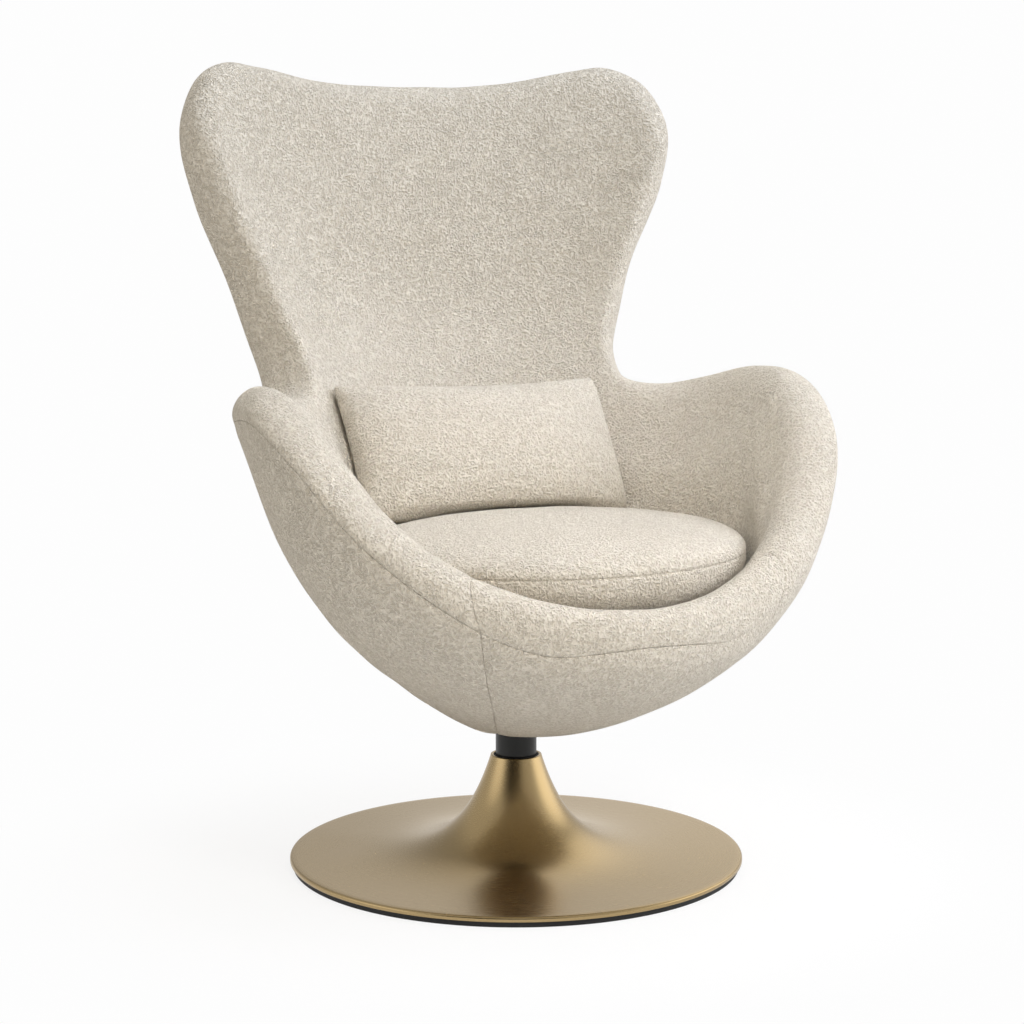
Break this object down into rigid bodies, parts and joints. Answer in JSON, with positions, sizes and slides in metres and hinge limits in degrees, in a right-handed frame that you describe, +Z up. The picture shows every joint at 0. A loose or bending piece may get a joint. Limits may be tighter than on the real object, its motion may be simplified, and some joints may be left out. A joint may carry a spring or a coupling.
{
  "type": "swivel pod lounge chair",
  "caption": "Egg-shaped upholstered swivel lounge chair with wings and low arms, loose round seat cushion and lumbar pillow, on a trumpet-shaped pedestal base.",
  "frame": {"origin": "on the floor under the swivel axis, which is the middle of the bounding box", "axes": "+Z up along the swivel axis, +X to the sitter's left, +Y to the back of the chair; the sitter faces -Y"},
  "size_m": [0.8096, 0.769, 1.0726],
  "materials": {
    "boucle": "cream looped boucle",
    "lining": "dark woven seat lining",
    "foam": "moulded polyurethane foam",
    "fibre_filling": "loose fibre filling",
    "glass_fibre": "moulded glass-fibre laminate",
    "plywood": "birch plywood",
    "brushed_brass": "circular brushed satin brass",
    "black_steel": "satin black powder coat",
    "plain_steel": "plain zinc-plated steel",
    "nylon": "natural nylon",
    "rubber": "matt black rubber"
  },
  "bodies": {
    "base": {"floor_ring": "rubber", "ballast_plate": "plain_steel", "base_trumpet": "brushed_brass", "column_tube": "black_steel", "flange_bolt_1": "plain_steel", "flange_bolt_2": "plain_steel", "flange_bolt_3": "plain_steel", "flange_bolt_4": "plain_steel", "lower_bush": "nylon", "upper_bush": "nylon", "bearing_lower_race": "plain_steel", "bearing_cage": "plain_steel", "mouth_seal": "rubber"},
    "pod": {"bearing_upper_race": "plain_steel", "swivel_column": "black_steel", "spindle": "plain_steel", "spindle_washer": "plain_steel", "retaining_clip": "plain_steel", "seat_plate": "black_steel", "seat_bolt_1": "plain_steel", "seat_bolt_2": "plain_steel", "seat_bolt_3": "plain_steel", "seat_bolt_4": "plain_steel", "t_nut_1": "plain_steel", "t_nut_2": "plain_steel", "t_nut_3": "plain_steel", "t_nut_4": "plain_steel", "mounting_board": "plywood", "shell_core": "glass_fibre", "inner_foam": "foam", "deck_foam": "foam", "deck_cover": "lining", "liner_cover": "boucle", "outer_cover_right": "boucle", "outer_cover_left": "boucle", "front_rail_cover": "boucle"},
    "cushion": {"cushion_bottom_cover": "boucle", "cushion_core": "foam", "cushion_top_cover": "boucle"},
    "pillow": {"pillow_front_cover": "boucle", "pillow_back_cover": "boucle", "pillow_filling": "fibre_filling"}
  },
  "joints": [
    {"name": "seat_swivel", "type": "hinge", "parent": "base", "child": "pod", "pos_m": [0, 0, 0.15], "axis": [0, 0, 1], "continuous": true},
    {"name": "cushion_lift", "type": "slide", "parent": "pod", "child": "cushion", "axis": [0, -0.5, 0.866], "range_m": [0, 0.6]},
    {"name": "pillow_lift", "type": "slide", "parent": "cushion", "child": "pillow", "axis": [0, 0, 1], "range_m": [0, 0.65]}
  ]
}
